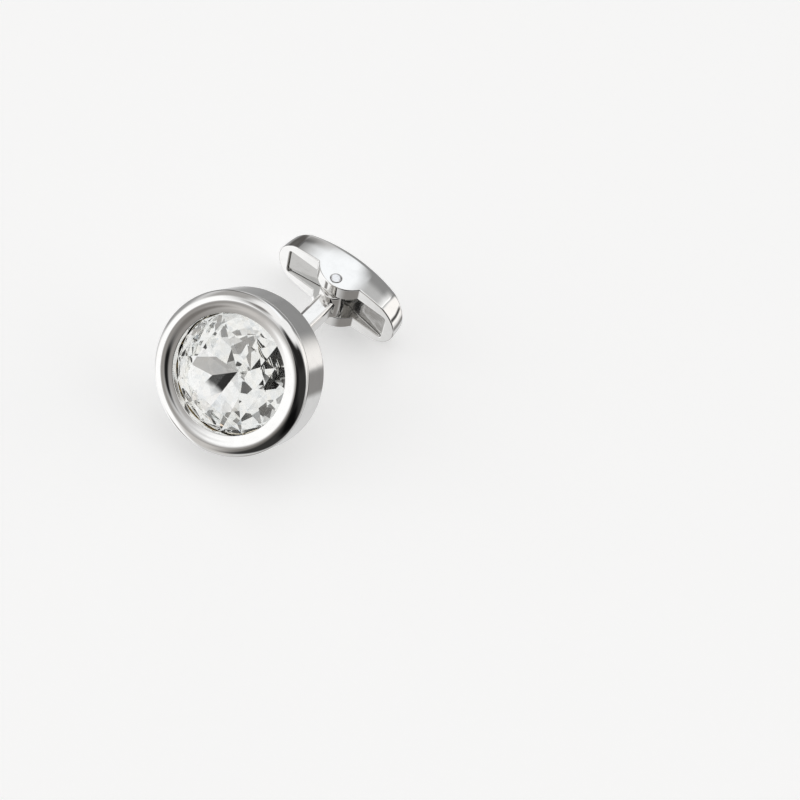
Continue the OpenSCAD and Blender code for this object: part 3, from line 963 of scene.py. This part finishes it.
def silver_backing():
    """The silvering on the pavilion: a mirror in small cells, some of them a little duller or warmer."""
    mat, tree, shader = principled("silver_backing", (0.95, 0.95, 0.94), Metallic=1.0, Roughness=0.0)
    place = add(tree, "TexCoord").outputs["Object"]
    cells = add(tree, "TexVoronoi", ("Vector", place), ("Scale", 1.7 / MM)).outputs["Color"]
    parts = add(tree, "SeparateColor", (0, cells)).outputs
    dull = tinted(tree, parts[1], (0.93, 0.92, 0.89, 1), (0.84, 0.86, 0.87, 1))
    tree.links.new(tinted(tree, parts[2], (0.97, 0.97, 0.96, 1), dull), shader.inputs["Base Color"])
    return mat


def camera():
    """The camera at the photo's place and angle to the cufflink."""
    data = bpy.data.cameras.new("camera")
    data.sensor_width = 36.0
    data.lens = data.sensor_width * FOCAL_PIXELS / PHOTO_PIXELS
    data.clip_start, data.clip_end = 0.005, 5.0
    obj = bpy.data.objects.new("camera", data)
    bpy.context.scene.collection.objects.link(obj)
    back = np.cross(CAMERA_RIGHT, CAMERA_UP)
    columns = np.eye(4)
    columns[:3] = np.stack([CAMERA_RIGHT, CAMERA_UP, back, np.array(CAMERA_PLACE) * MM], -1)
    obj.matrix_world = Matrix(columns.tolist())
    bpy.context.scene.camera = obj


def table_top():
    """A plain near-white table that the metal doesn't mirror: it shows the studio's lower half instead."""
    mat, _, shader = principled("table_white", (0.80, 0.80, 0.80), Roughness=0.6)
    shader.inputs["Emission Color"].default_value = (1, 1, 0.995, 1)
    shader.inputs["Emission Strength"].default_value = TABLE_GLOW
    half = TABLE_HALF * MM
    mesh = bpy.data.meshes.new("table_top")
    corners = [(-half, -half, 0), (half, -half, 0), (half, half, 0), (-half, half, 0)]
    mesh.from_pydata(corners, [], [(0, 1, 2, 3)])
    mesh.materials.append(mat)
    obj = bpy.data.objects.new("table_top", mesh)
    bpy.context.scene.collection.objects.link(obj)
    obj.visible_glossy = False


def painted_sky(tree, azimuth, elevation, soft_box, ground, boxes):
    """A grey sky with soft boxes on it, each painted over the ones before."""
    colour = display(ground)
    for _, *shape, grey, warmth in boxes:
        wires = [("Azimuth", azimuth), ("Elevation", elevation), *zip(SOFT_BOX_SHAPE, shape)]
        box = add(tree, "Group", *wires, node_tree=soft_box)
        colour = tinted(tree, box.outputs["Mask"], colour, display(grey, warmth))
    return colour


def studio():
    """A plain studio round the table. Metal, crystal and camera each see their own painting of it."""
    world = bpy.data.worlds.new("studio")
    bpy.context.scene.world = world
    world.use_nodes = True
    tree = world.node_tree
    way = add(tree, "SeparateXYZ", (0, add(tree, "TexCoord").outputs["Generated"])).outputs
    toward = reckon(tree, "MULTIPLY", way[1], -1.0)
    azimuth = reckon(tree, "DEGREES", reckon(tree, "ARCTAN2", way[0], toward))
    elevation = reckon(tree, "DEGREES", reckon(tree, "ARCSINE", way[2]))
    soft_box = soft_box_group()
    ray = add(tree, "LightPath").outputs
    metal_sky = tree.nodes["Background"]
    metal_colour = painted_sky(tree, azimuth, elevation, soft_box, STUDIO_GREY, SOFT_BOXES)
    tree.links.new(metal_colour, metal_sky.inputs["Color"])
    metal_sky.inputs["Strength"].default_value = STUDIO_STRENGTH
    stone_colour = painted_sky(tree, azimuth, elevation, soft_box, STONE_GREY, STONE_BOXES)
    stone_sky = add(tree, "Background", (0, stone_colour), (1, STUDIO_STRENGTH)).outputs[0]
    backdrop = add(tree, "Background", (0, display(BACKDROP_GREY)), (1, 1.0)).outputs[0]
    sky = add(tree, "MixShader", (0, ray["Is Transmission Ray"]), (1, metal_sky.outputs[0]), (2, stone_sky))
    sky = add(tree, "MixShader", (0, ray["Is Camera Ray"]), (1, sky.outputs[0]), (2, backdrop))
    tree.links.new(sky.outputs[0], tree.nodes["World Output"].inputs["Surface"])


def light_paths():
    """Enough bounces for light to find its way out of the crystal."""
    cycles = bpy.context.scene.cycles
    cycles.max_bounces = LIGHT_BOUNCES
    cycles.glossy_bounces = LIGHT_BOUNCES
    cycles.transmission_bounces = LIGHT_BOUNCES


polish = polish_group()
plate = mirror_plate(polish)
post_plate = cast_post_plate(polish)
head_case(plate)
cut_stone(crystal_glass(), silver_backing())
foil_shell(foil_metal(polish))
back_plate(satin_plate(polish))
strap(post_plate)
post(post_plate)
knuckle(post_plate)
pin(rivet_steel(polish))
toggle_bar(plate)
leaf_spring(spring_steel(polish))
camera()
table_top()
studio()
light_paths()
bpy.context.scene.view_settings.view_transform = "Standard"
